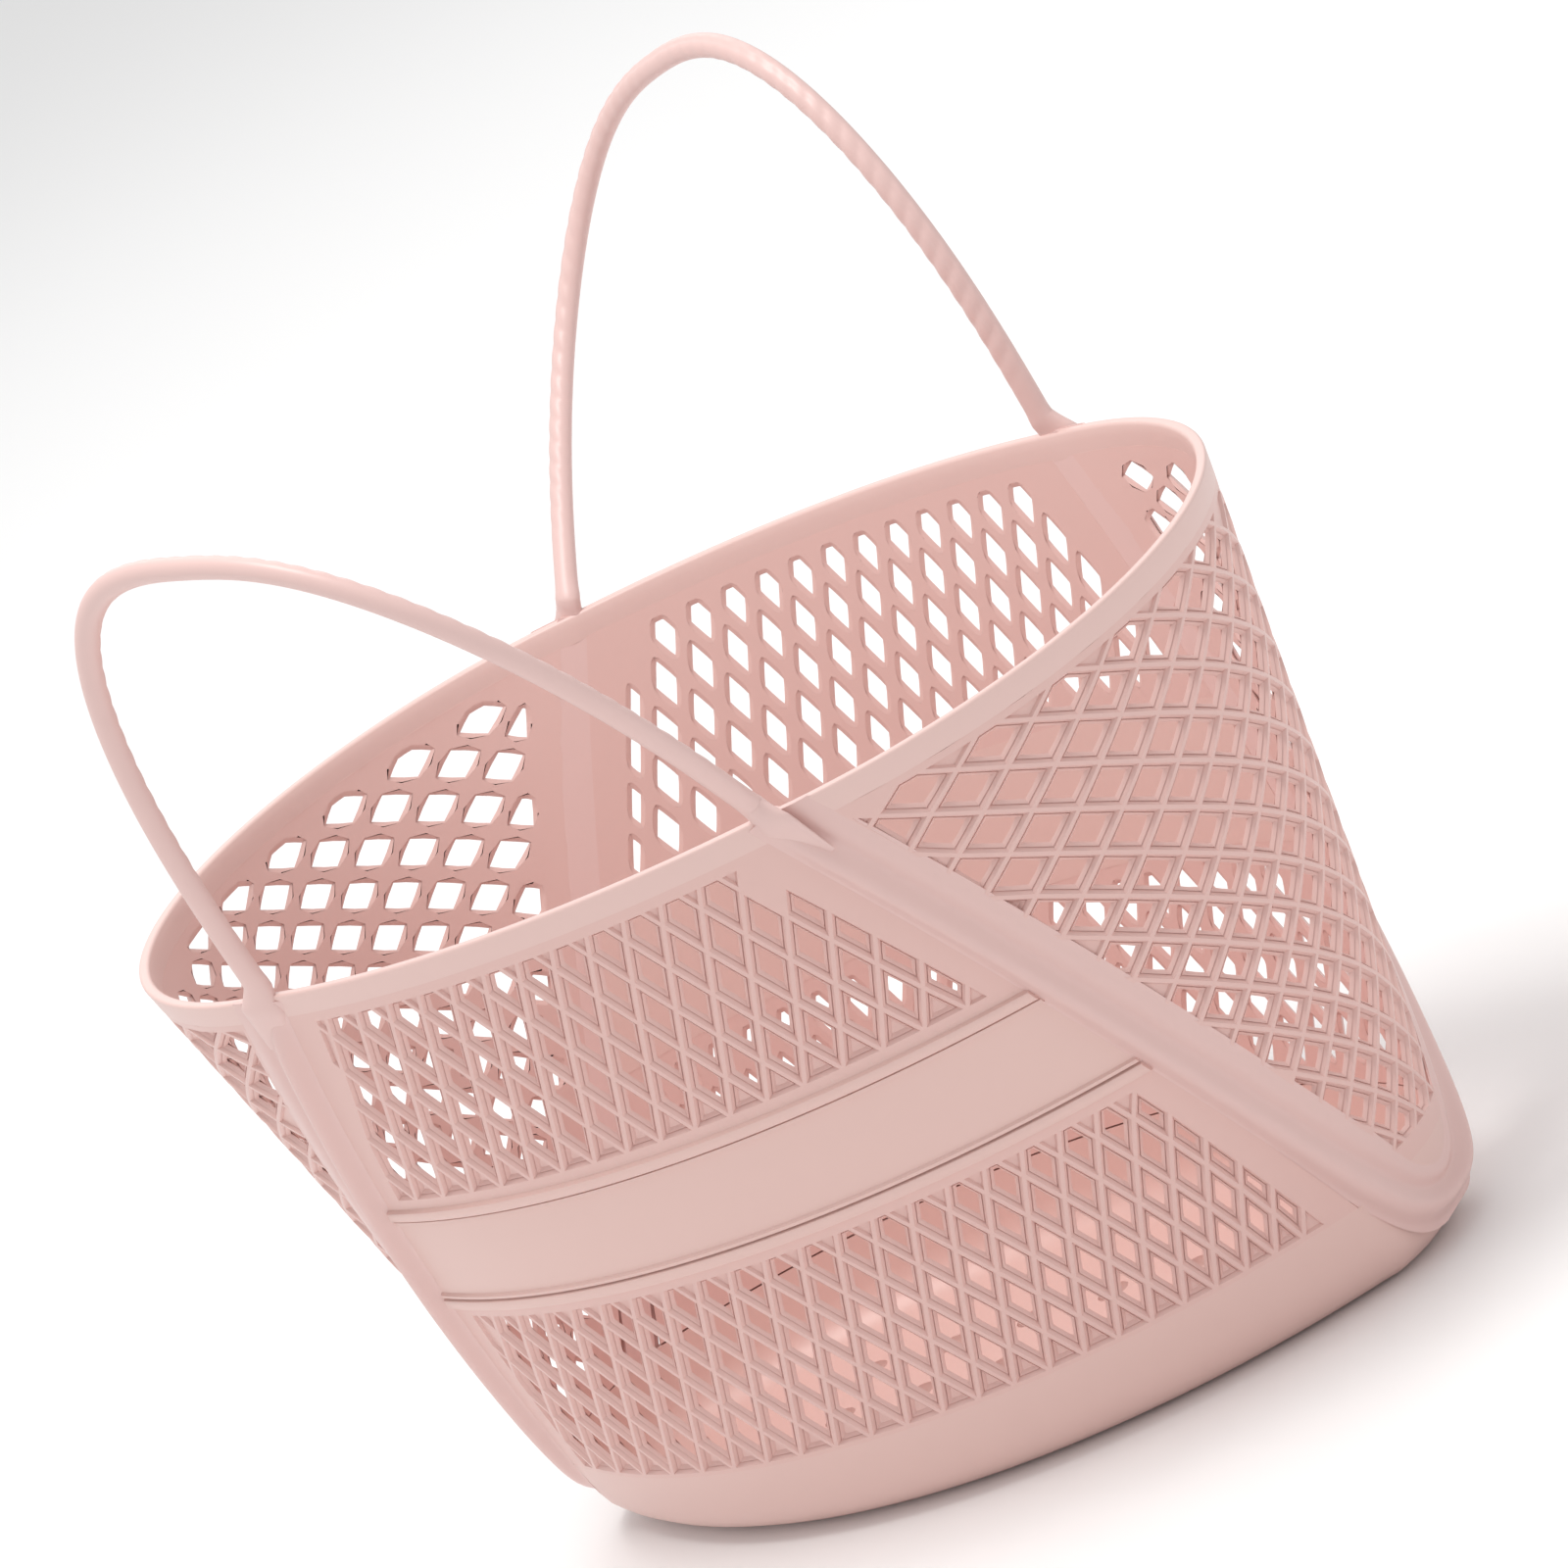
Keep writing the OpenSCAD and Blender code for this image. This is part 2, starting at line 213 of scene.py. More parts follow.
class Basket:
    """Every line of the basket that its pieces share."""

    def __init__(self, sizes):
        self.sizes = sizes
        slope = (RIM_HIGH.y - BASE_HALF_W) / RIM_HIGH.z
        self.front_axis = sizes.front_radius - BASE_HALF_W
        self.front = Wall((0, -1, 0), (1, 0, 0), -self.front_axis, 0, sizes.front_radius, slope)
        self.root_x = sizes.handle_span / 2
        self.corner_x = BASE_HALF_L - sizes.corner_inset
        self.end = self.end_wall(self.end_wall(1).squash)
        foot_x = BASE_HALF_L + sizes.strap_foot_out
        chord = math.hypot(foot_x - self.root_x, RIM_HIGH.z)
        self.strap_r = chord * chord / 8 / sizes.strap_bow + sizes.strap_bow / 2
        reach = (sizes.strap_bow - self.strap_r) / chord
        self.strap_cx = (self.root_x + foot_x) / 2 + RIM_HIGH.z * reach
        self.strap_cz = RIM_HIGH.z / 2 + (foot_x - self.root_x) * reach

    def end_wall(self, squash):
        """The end wall that meets the front wall's corner both at the rim and at the ground."""
        rim_y = self.front_y(self.root_x, RIM_HIGH.z) / squash
        base_y = self.front_y(self.corner_x, 0) / squash
        rim_c = self.end_centre(RIM_HIGH.x, self.root_x, rim_y)
        base_c = self.end_centre(BASE_HALF_L, self.corner_x, base_y)
        rim_r, base_r = RIM_HIGH.x - rim_c, BASE_HALF_L - base_c
        return Wall((1, 0, 0), (0, 1, 0), base_c, (rim_c - base_c) / RIM_HIGH.z,
                    base_r, (rim_r - base_r) / RIM_HIGH.z)

    @staticmethod
    def end_centre(tip, x, y):
        return (tip * tip - x * x - y * y) / (2 * (tip - x))

    def front_y(self, x, z):
        radius = self.front.radius(z)
        return math.sqrt(radius * radius - x * x) - self.front_axis

    def strap_x(self, z):
        """The strap's line, seen from the front."""
        return self.strap_cx + math.sqrt(self.strap_r ** 2 - (z - self.strap_cz) ** 2)

    def end_limit(self, z, offset):
        """The angle on the end wall at which it comes within offset of a strap's line."""
        share = (self.strap_x(z) + offset - self.end.centre(z)) / self.end.radius(z)
        return math.acos(max(-1.0, min(1.0, share)))

    def outline(self, turn, z, inset):
        """A point of the plan outline; turn goes once round from 0 to 1, a quarter for each corner."""
        quarter, part = divmod((turn % 1.0) * 4, 1)
        if quarter % 2:
            part = 1 - part
        meet = self.corner_x - (self.corner_x - self.root_x) * (z / RIM_HIGH.z) ** 3
        if part <= 0.5:
            angle = math.acos((meet - self.end.centre(z)) / self.end.radius(z)) * part * 2
            x = self.end.centre(z) + (self.end.radius(z) - inset) * math.cos(angle)
            y = (self.end.radius(z) - inset) * math.sin(angle) * self.end.squash
        else:
            corner = math.acos(meet / self.front.radius(z))
            angle = corner + (math.pi / 2 - corner) * (part * 2 - 1)
            x = (self.front.radius(z) - inset) * math.cos(angle)
            y = (self.front.radius(z) - inset) * math.sin(angle) - self.front_axis
        return Vector((x if quarter in (0, 3) else -x, y if quarter < 2 else -y, z))


def sizes():
    return bpy.context.scene.caddy_sizes


def colours():
    return bpy.context.scene.caddy_colours


# ---- shared modelling steps ----
def finished(name, bm, material, sharp=35):
    """Turns a bmesh into an object with smooth faces and crisp corners."""
    mesh = bpy.data.meshes.new(name)
    bm.to_mesh(mesh)
    bm.free()
    return dressed(name, mesh, material, sharp)


def dressed(name, mesh, material, sharp=35):
    piece = bpy.data.objects.new(name, mesh)
    bpy.context.scene.collection.objects.link(piece)
    mesh.materials.clear()
    mesh.materials.append(material)
    mesh.shade_smooth()
    mesh.set_sharp_from_angle(angle=math.radians(sharp))
    return piece


def fitted(piece, body, node):
    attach(piece, body)
    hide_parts(node)
    return piece


def turned_copy(piece, name, node, body):
    """The same piece on the other side of the basket."""
    mesh = piece.data.copy()
    mesh.transform(HALF_TURN)
    mesh.update()
    other = bpy.data.objects.new(name, mesh)
    bpy.context.scene.collection.objects.link(other)
    return fitted(other, body, node)


def bent_grid(along, around, place, wrap_along=False, capped=False):
    """A grid of along by around faces, each point put in place by a formula, closed round the section."""
    bm = bmesh.new()
    bmesh.ops.create_grid(bm, x_segments=along, y_segments=around, size=0.5)
    for v in bm.verts:
        v.co = place(v.co.x + 0.5, v.co.y + 0.5)
    bmesh.ops.remove_doubles(bm, verts=bm.verts, dist=1e-6)
    if capped:
        rim = [e for e in bm.edges if e.is_boundary]
        bmesh.ops.holes_fill(bm, edges=rim, sides=0)
    bmesh.ops.recalc_face_normals(bm, faces=bm.faces)
    return bm


def cut(bm, at, normal, clear=False):
    everything = bm.verts[:] + bm.edges[:] + bm.faces[:]
    bmesh.ops.bisect_plane(bm, geom=everything, plane_co=at, plane_no=normal, clear_outer=clear, dist=1e-7)


def cut_where(bm, inside, near, clear):
    """Cuts a flat sheet along the line where inside is 0; corners nearer than near move onto it."""
    value = {}
    for v in bm.verts:
        here = inside(v.co.x, v.co.y)
        if abs(here) < near and (clear or not v.is_boundary):
            slope_x = (inside(v.co.x + 1e-5, v.co.y) - here) * 1e5
            slope_y = (inside(v.co.x, v.co.y + 1e-5) - here) * 1e5
            pull = here / (slope_x ** 2 + slope_y ** 2)
            v.co -= Vector((slope_x, slope_y, 0)) * pull
            here = 0.0
        value[v] = here
    crossing = [e for e in bm.edges if value[e.verts[0]] * value[e.verts[1]] < 0]
    split = []
    for edge in crossing:
        one, two = edge.verts
        split.append(bmesh.utils.edge_split(edge, one, value[one] / (value[one] - value[two]))[1])
    bmesh.ops.connect_verts(bm, verts=split + [v for v, here in value.items() if here == 0])
    if clear:
        outer = [f for f in bm.faces if inside(*f.calc_center_median().xy) < 0]
        bmesh.ops.delete(bm, geom=outer, context="FACES")


# ---- lattice walls ----
OPEN_ROOM, RECESS_ROOM = 2.6 * MM, 1.25 * MM
UPPER_STRIP, GROOVE, LOWER_STRIP = 0.66 * MM, 0.14 * MM, 0.81 * MM
GROOVE_DEPTH = 0.4 * MM


class Lattice:
    """A panel of crossing bars, laid out flat: across the wall in metres of its width, and up in height.
    node(column, row) places a crossing; each edge and border says how far inside it a point lies."""

    def __init__(self, wall, angle_of, node, columns, rows, edges, borders):
        self.wall, self.angle_of, self.node = wall, angle_of, node
        self.columns, self.rows, self.edges, self.borders = columns, rows, edges, borders

    def sheet(self):
        """The flat sheet of diamonds, cut to the panel's outline and along the lattice's border."""
        count = 2 * (self.columns + self.rows + 2)
        bm = bmesh.new()
        bmesh.ops.create_grid(bm, x_segments=count, y_segments=count, size=count / 2)
        turn = Matrix.Rotation(math.pi / 4, 4, "Z") @ Matrix.Scale(math.sqrt(0.5), 4)
        bmesh.ops.transform(bm, matrix=turn, verts=bm.verts)
        far = [v for v in bm.verts if abs(v.co.x) > self.columns or not -1.1 < v.co.y < self.rows + 1.1]
        bmesh.ops.delete(bm, geom=far, context="VERTS")
        bmesh.ops.delete(bm, geom=[e for e in bm.edges if not e.link_faces], context="EDGES")
        bmesh.ops.delete(bm, geom=[v for v in bm.verts if not v.link_faces], context="VERTS")
        for v in bm.verts:
            v.co = (*self.node(v.co.x, v.co.y), 0)
        for edge in self.edges:
            cut_where(bm, edge, 0.2 * MM, True)
        for border in self.borders:
            cut_where(bm, border, 1.2 * MM, False)
        return bm

    def is_cell(self, face):
        middle = face.calc_center_median()
        return all(border(middle.x, middle.y) > 0 for border in self.borders)

    def build(self, name, material, level):
        """Steps every cell of the sheet down from the bars: to a hole, a closed pocket or a recess."""
        s = sizes()
        bm = self.sheet()
        cell_flag = bm.faces.layers.int.new("cell")
        for face in bm.faces:
            face[cell_flag] = int(self.is_cell(face))
        for v in bm.verts:
            v.co = self.wall.flatten(self.angle_of(v.co.x, v.co.y), v.co.y)
        crease = bm.edges.layers.float.new("crease_edge")
        outside = bm.faces[:]
        made = bmesh.ops.extrude_face_region(bm, geom=outside, use_keep_orig=True)["geom"]
        inner_verts = [g for g in made if isinstance(g, bmesh.types.BMVert)]
        bmesh.ops.translate(bm, vec=(0, 0, -s.wall), verts=inner_verts)
        bmesh.ops.recalc_face_normals(bm, faces=bm.faces)
        for edge in bm.edges:
            if any(abs(f.normal.z) < 0.5 for f in edge.link_faces):
                edge[crease] = 1.0
        top, pocket, recess, under = [], [], [], []
        for face in bm.faces:
            if abs(face.normal.z) < 0.5 or not face[cell_flag]:
                continue
            room = inset_room(face)
            if room > OPEN_ROOM and len(face.verts) > 3:
                (top if face.normal.z > 0 else under).append(face)
            elif room > OPEN_ROOM and face.normal.z > 0:
                pocket.append(face)
            elif room > RECESS_ROOM and face.normal.z > 0:
                recess.append(face)

        def step(faces, width, drop, sharp):
            made = bmesh.ops.inset_individual(bm, faces=faces, thickness=width, depth=-drop,
                                              use_even_offset=True)["faces"]
            for f in made + faces:
                for e in f.edges:
                    e[crease] = max(e[crease], sharp) if e[crease] < 1 else e[crease]

        for cells in (top, pocket):
            step(cells, s.crest, 0, 1)
            step(cells, UPPER_STRIP, s.relief / 2, 1)
            step(cells, GROOVE, GROOVE_DEPTH, 1)
            step(cells, GROOVE, -GROOVE_DEPTH, 1)
            step(cells, LOWER_STRIP, s.relief / 2, 0.9)
        step(recess, s.crest, 0, 1)
        step(recess, 0.5 * MM, s.relief / 2, 1)
        lip = s.crest + UPPER_STRIP + 2 * GROOVE + LOWER_STRIP
        step(under, lip * 0.45, 0, 0)
        step(under, lip * 0.55, s.wall - s.relief, 0.9)
        bmesh.ops.delete(bm, geom=top + under, context="FACES_ONLY")
        bmesh.ops.remove_doubles(bm, verts=bm.verts, dist=2e-6)
        return self.rolled(name, bm, material, level)

    def rolled(self, name, bm, material, level):
        """Subdivides the flat relief, then rolls every point of it onto the wall."""
        flat = bpy.data.meshes.new(name + "_flat")
        bm.to_mesh(flat)
        bm.free()
        carrier = bpy.data.objects.new(name + "_flat", flat)
        bpy.context.scene.collection.objects.link(carrier)
        finer = carrier.modifiers.new("finer", "SUBSURF")
        finer.levels = finer.render_levels = level
        finer.boundary_smooth = "PRESERVE_CORNERS"
        bpy.context.view_layer.update()
        mesh = bpy.data.meshes.new_from_object(carrier.evaluated_get(bpy.context.evaluated_depsgraph_get()))
        mesh.name = name
        bpy.data.objects.remove(carrier)
        for v in mesh.vertices:
            v.co = self.wall.roll(v.co)
        mesh.update()
        return dressed(name, mesh, material)


def inset_room(face):
    """How far a face's sides can all move inwards before the first of them shrinks to nothing."""
    def spread(loop):
        return 1 / math.tan(max(0.05, loop.calc_angle()) / 2)

    return min(loop.edge.calc_length() / max(1e-6, spread(loop) + spread(loop.link_loop_next))
               for loop in face.loops)


def front_lattice(basket, low, high, edge_low, edge_high, node_z, row, place):
    """A panel of the front wall; place gives a column's distance across at one height."""
    s = basket.sizes

    def angle_of(across, z):
        return across / basket.front.radius(z)

    def node(column, count):
        z = node_z + count * row
        return place(column, z), z

    def side(across, z, margin):
        reach = basket.strap_x(z) - s.strap_half - margin
        return basket.front.radius(z) * math.asin(reach / basket.front.radius(z)) - abs(across)

    def margin(z):
        return s.front_border + max(0.0, z - BAND_HIGH.z) * s.border_lean

    edges = [lambda x, z: side(x, z, -MM), lambda x, z: z - edge_low, lambda x, z: edge_high - z]
    borders = [lambda x, z: side(x, z, margin(z)), lambda x, z: z - low, lambda x, z: high - z]
    return Lattice(basket.front, angle_of, node, 17, math.ceil((edge_high - node_z) / row), edges, borders)


def upper_column(column, z):
    """Where a column of the upper front lattice crosses one height: its columns spread at the sides."""
    s = sizes()
    return 0.0010 + (z - s.upper_node) * 0.05 + s.upper_pitch * column + 8e-6 * column ** 3


def lower_column(column, z):
    """The same for the lower front lattice, whose columns draw together a little towards the base."""
    s = sizes()
    drop = (s.lower_node + 2.5 * s.lower_row - z) / (2 * s.lower_row)
    bend = 6e-5 + 7e-5 * drop
    return s.lower_pitch * (1 + 0.018 * drop) * column - bend * column ** 2 - 0.0010


def end_lattice(basket):
    s = basket.sizes
    wall = basket.end
    wide = wall.radius(RIM_LOW.z / 2)

    def angle_of(across, z):
        return across / wide

    def node(column, count):
        z = s.end_node + count * s.end_row
        middle = s.end_middle + (z - s.end_node) * s.end_lean
        fan = s.fan * (1.04 - 0.04 * z / RIM_HIGH.z)
        angle = middle + fan * column
        return angle * wide, z + max(0.0, angle + 0.47) * 3.5 * MM

    def side(across, z, margin):
        return (basket.end_limit(z, margin) - abs(across / wide)) * wall.radius(z)

    def margin(z):
        return s.end_border + s.end_border_lean * z

    low, high = s.end_low, RIM_LOW.z - 1.5 * MM
    edges = [lambda x, z: side(x, z, s.strap_half - MM), lambda x, z: z - SKIRT.z,
             lambda x, z: RIM_LOW.z - z]
    borders = [lambda x, z: side(x, z, margin(z)), lambda x, z: z - low, lambda x, z: high - z]
    rows = math.ceil((RIM_LOW.z - s.end_node) / s.end_row)
    return Lattice(wall, angle_of, node, 9, rows, edges, borders)


# ---- plain walls ----
def bead(start, way):
    """Height and relief of one bead from start, upwards or downwards: a broad band, a groove, a line."""
    steps = [(0, 0), (0.35, 1.15), (0.7, 1.35), (3.0, 1.35), (3.35, 1.1), (3.5, -0.5), (3.85, -0.5),
             (4.0, 0.75), (5.0, 0.85), (5.4, 0)]
    return [(start + way * along * MM, out * MM) for along, out in steps]


def band_mesh(basket):
    """The smooth band across the front wall: its section spun round the wall's own axis."""
    s = basket.sizes
    wall = basket.front
    section = bead(BAND_HIGH.z - 1.8 * MM, -1) + bead(BAND_LOW.z + 0.1 * MM, 1)[::-1]
    section = [(BAND_HIGH.z, 0)] + section + [(BAND_LOW.z, 0)]
    past_lattice = 0.06 * MM
    inner = -s.wall - past_lattice
    section += [(BAND_LOW.z, inner), (BAND_HIGH.z, inner)]
    reach = math.asin((basket.strap_x(BAND_LOW.z) + 3 * MM) / wall.radius(BAND_LOW.z))
    bm = bmesh.new()
    ring = [bm.verts.new(wall.point(-reach, z, out)) for z, out in section]
    edges = [bm.edges.new((a, b)) for a, b in zip(ring, ring[1:] + ring[:1])]
    centre = (0, basket.front_axis, 0)
    bmesh.ops.spin(bm, geom=ring + edges, cent=centre, axis=UP, angle=2 * reach, steps=72, use_merge=False)
    x_low, x_high = basket.strap_x(BAND_LOW.z), basket.strap_x(BAND_HIGH.z)
    for side in (-1, 1):
        lean = Vector((BAND_HIGH.z - BAND_LOW.z, 0, x_low - x_high))
        cut(bm, (side * (x_low - s.strap_half + MM), 0, BAND_LOW.z), (side * lean.x, 0, lean.z), True)
    bmesh.ops.holes_fill(bm, edges=[e for e in bm.edges if e.is_boundary], sides=0)
    bmesh.ops.recalc_face_normals(bm, faces=bm.faces)
    return bm


def rim_section(s):
    """Height and inset of the rim's section: small rounds on top, and as thick as the wall below."""
    r, top = 0.9 * MM, RIM_HIGH.z
    turns = [math.radians(22.5 * i) for i in range(5)]
    outer = [(top - r + r * math.sin(t), r - r * math.cos(t)) for t in turns]
    inner = [(top - r + r * math.cos(t), s.rim_wall - r + r * math.sin(t)) for t in turns]
    return [(RIM_LOW.z, 0)] + outer + inner + [(top - 3 * MM, s.rim_wall), (RIM_LOW.z, s.wall)]


def rim_mesh(basket):
    section = rim_section(basket.sizes)

    def place(turn, part):
        z, inset = section[round(part * len(section)) % len(section)]
        return basket.outline(turn, z, inset)

    return bent_grid(256, len(section), place)


def tray_section(s):
    """Height and inset from the middle of the underside, up the outside and down to the floor."""
    turns = [math.radians(15 * i) for i in range(7)]
    r, inner = s.base_round, s.base_round - s.wall
    out = [(r - r * math.cos(t), r - r * math.sin(t)) for t in turns]
    back = [(s.floor + inner - inner * math.cos(t), s.wall + inner - inner * math.sin(t)) for t in turns]
    return out + [(SKIRT.z, 0), (SKIRT.z, s.wall)] + back[::-1]


def tray_mesh(basket):
    s = basket.sizes
    section = tray_section(s)

    def place(turn, part):
        z, inset = section[round(part * (len(section) - 1))]
        return basket.outline(turn, z, inset)

    return bent_grid(192, len(section) - 1, place, capped=True)


def drain_cutter(s):
    """One rod for each drain hole, in three rows along the floor."""
    bm = bmesh.new()
    columns = 6
    for column in range(columns):
        for row in (-1, 0, 1):
            x = (column - (columns - 1) / 2) * s.drain_pitch_x
            at = Matrix.Translation((x, row * s.drain_pitch_y, s.floor / 2))
            bmesh.ops.create_cone(bm, cap_ends=True, segments=32, radius1=s.drain / 2, radius2=s.drain / 2,
                                  depth=4 * s.floor, matrix=at)
    mesh = bpy.data.meshes.new("drain_cutter")
    bm.to_mesh(mesh)
    bm.free()
    cutter = bpy.data.objects.new("drain_cutter", mesh)
    bpy.context.scene.collection.objects.link(cutter)
    return cutter


# ---- straps ----
def strap_height(across, s):
    """Height of a strap above the wall: a round crest, then a low soft flank towards the end wall."""
    crest, flank = 5.4 * MM, 5.0 * MM
    high = s.strap_proud * (0.5 + 0.5 * math.cos(math.pi * min(1, abs(across) / crest)))
    soft = 0.9 * MM * (0.5 + 0.5 * math.cos(math.pi * min(1, abs(across - 8 * MM) / flank)))
    return high + soft - 0.12 * MM


def strap_mesh(basket):
    """A U-shaped strap, from the front rim, round the end of the base, up to the back rim."""
    s = basket.sizes
    left, right, fade = -6.5 * MM, 13.0 * MM, 20 * MM
    tip_z = tip_height(basket)
    crest_steps = 30
    section = [(left + (right - left) * i / crest_steps) for i in range(crest_steps + 1)]
    profile = [(w, strap_height(w, s)) for w in section]
    profile += [(right, -0.7 * MM), (s.strap_half + 0.4 * MM, -0.7 * MM), (s.strap_half, -s.wall),
                (-s.strap_half, -s.wall), (-s.strap_half - 0.4 * MM, -0.7 * MM), (left, -0.7 * MM)]

    def line(t):
        """The crest at t from -1, the front rim, through 0, the tip, to 1; it rounds the tip higher up."""
        z = tip_z + (RIM_HIGH.z - tip_z) * abs(t) ** 1.6
        angle = math.copysign(basket.end_limit(z, 0), t) if abs(t) > 1e-9 else 0.0
        z += s.tip_lift * math.exp((tip_z - z) / (14 * MM))
        return basket.end.point(angle, z), angle

    def place(along, part):
        t = along * 2 - 1
        p, angle = line(t)
        ahead, behind = line(min(1, t + 0.004))[0], line(max(-1, t - 0.004))[0]
        normal = basket.end.normal(angle)
        across = (ahead - behind).cross(normal).normalized() * -1
        w, h = profile[round(part * len(profile)) % len(profile)]
        # the soft flank draws in towards the tip, and the crest sinks under the handle's root
        if w > 0:
            w *= 0.62 + 0.38 * min(1.0, abs(t) / 0.3)
        q = p + across * w
        z = min(max(q.z, 0.0), RIM_HIGH.z)
        if h > 0:
            near = max(0.0, 1 - (RIM_HIGH.z - z) / fade)
            h *= 1 - 0.72 * near * near * (3 - 2 * near)
        return on_wall(basket, q, z, h)

    return bent_grid(200, len(profile), place, capped=True)


def tip_height(basket):
    """The height at which a strap's line meets the end of the basket."""
    low, high = 0.0, RIM_HIGH.z
    for _ in range(40):
        middle = (low + high) / 2
        if basket.strap_x(middle) > basket.end.centre(middle) + basket.end.radius(middle):
            low = middle
        else:
            high = middle
    return high


def on_wall(basket, q, z, height):
    """Puts a point onto the wall near it, and lifts it off by height."""
    side = -1 if q.y < 0 else 1
    end_angle = math.atan2(q.y / basket.end.squash, q.x - basket.end.centre(z))
    front_angle = math.asin(max(-1, min(1, q.x / basket.front.radius(z))))
    on_end = basket.end.point(end_angle, z, height)
    on_front = basket.front.point(front_angle, z, height)
    on_front.y *= -side
    past = (abs(q.x) - basket.strap_x(z)) / (4 * MM)
    share = max(0.0, min(1.0, 0.5 + past / 2))
    share = share * share * (3 - 2 * share)
    return on_front.lerp(on_end, share)


# ---- handles ----
LEAD = 0.1
ROOT_DEPTH = 20 * MM
ROOT_OUT, ROOT_OUT_OVER = 2.2 * MM, 6 * MM
HANDLE_LEANS = {"front_handle": (17, 14), "back_handle": (26, -23)}


class Arch:
    """A handle's centre line: an arch whose plane leans away from the mouth and twists, in degrees."""

    def __init__(self, basket, hinge, lean, twist):
        self.basket, self.s = basket, basket.sizes
        self.hinge, self.lean, self.twist = hinge, math.radians(lean), math.radians(twist)
        self.side = -1 if hinge.y < 0 else 1

    def tilt(self, x):
        return self.lean + self.twist * x / self.basket.root_x

    def point(self, t):
        """t from 0 to 1 along the arch; below 0 and above 1 it runs on down into the strap."""
        over = min(0.0, t, 1 - t)
        angle = math.pi * min(1.0, max(0.0, t))
        power = 2 / self.s.arch_power
        x = -self.basket.root_x * math.copysign(abs(math.cos(angle)) ** power, math.cos(angle))
        rise = self.s.handle_rise * max(0.0, math.sin(angle)) ** power
        a = self.tilt(x)
        x += self.s.arch_shift * rise / self.s.handle_rise
        drop = over * ROOT_DEPTH / LEAD
        out = Vector((x, self.side * rise * math.sin(a), rise * math.cos(a) + drop))
        if over < 0:
            z = self.hinge.z + drop
            wider = self.basket.strap_x(z) - self.basket.strap_x(self.hinge.z)
            out.x = math.copysign(self.basket.root_x + wider, x)
            shift = self.wall_at(z) - self.wall_at(self.hinge.z)
            out.y += self.side * (shift + ROOT_OUT * min(1.0, -drop / ROOT_OUT_OVER))
        return out + Vector((0, self.hinge.y, self.hinge.z))

    def wall_at(self, z):
        """How far from the middle the wall lies along a strap's line."""
        return abs(self.basket.front_y(self.basket.strap_x(z), z))

    def spaced(self, part):
        """Rings stand closer together near the roots, where the arch is steepest."""
        part = min(1.0, max(0.0, part))
        if part < 0.5:
            return 0.5 * (2 * part) ** 1.5
        return 1 - 0.5 * (2 - 2 * part) ** 1.5


def handle_mesh(basket, hinge, lean, twist):
    """An oval strand along the arch, flared at the rim; ridges like a rope's run along its inner side."""
    s = basket.sizes
    arch = Arch(basket, hinge, lean, twist)
    along, around, lead = 424, 28, 12

    def line(step):
        if step < lead:
            return arch.point(-LEAD * (lead - step) / lead)
        if step > along - lead:
            return arch.point(1 + LEAD * (step - along + lead) / lead)
        return arch.point(arch.spaced((step - lead) / (along - 2 * lead)))

    points = [line(k) for k in range(along + 1)]
    run = [0.0]
    for a, b in zip(points, points[1:]):
        run.append(run[-1] + (b - a).length)

    def place(u, v):
        k = round(u * along)
        p = points[k]
        forward = (points[min(along, k + 2)] - points[max(0, k - 2)]).normalized()
        a = arch.tilt(max(-basket.root_x, min(basket.root_x, p.x)))
        out = Vector((0, arch.side * math.cos(a), -math.sin(a)))
        across = forward.cross(out).normalized()
        face = across.cross(forward)
        height = p.z - RIM_HIGH.z
        flare = max(0.0, 1 - max(0.0, height + 3 * MM) / (11 * MM)) ** 2.2
        width = s.handle_w / 2 + 4.2 * MM * flare
        buried = max(0.0, (lead - min(k, along - k)) / lead)
        width *= 1 - 0.6 * buried
        thick = s.handle_t / 2 * (1 - 0.1 * flare) * (1 - 0.8 * buried)
        q = 2 * math.pi * v
        inner = max(0.0, -math.sin(q))
        fade = min(1.0, max(0.0, (height - 12 * MM) / (15 * MM)))
        twist_of = 2 * math.pi * run[k] / s.rope_pitch + 2.2 * q * (1 if p.x > 0 else -1)
        ridge = 0.34 * MM * inner ** 0.5 * fade * (abs(math.sin(twist_of / 2)) - 0.75)
        groove = 0.35 * MM * fade * math.exp(-((q - math.radians(305)) / 0.2) ** 2)
        radius = ridge - groove
        return p + across * math.cos(q) * (width + radius) + face * math.sin(q) * (thick + radius)

    return bent_grid(along, around, place, capped=True)


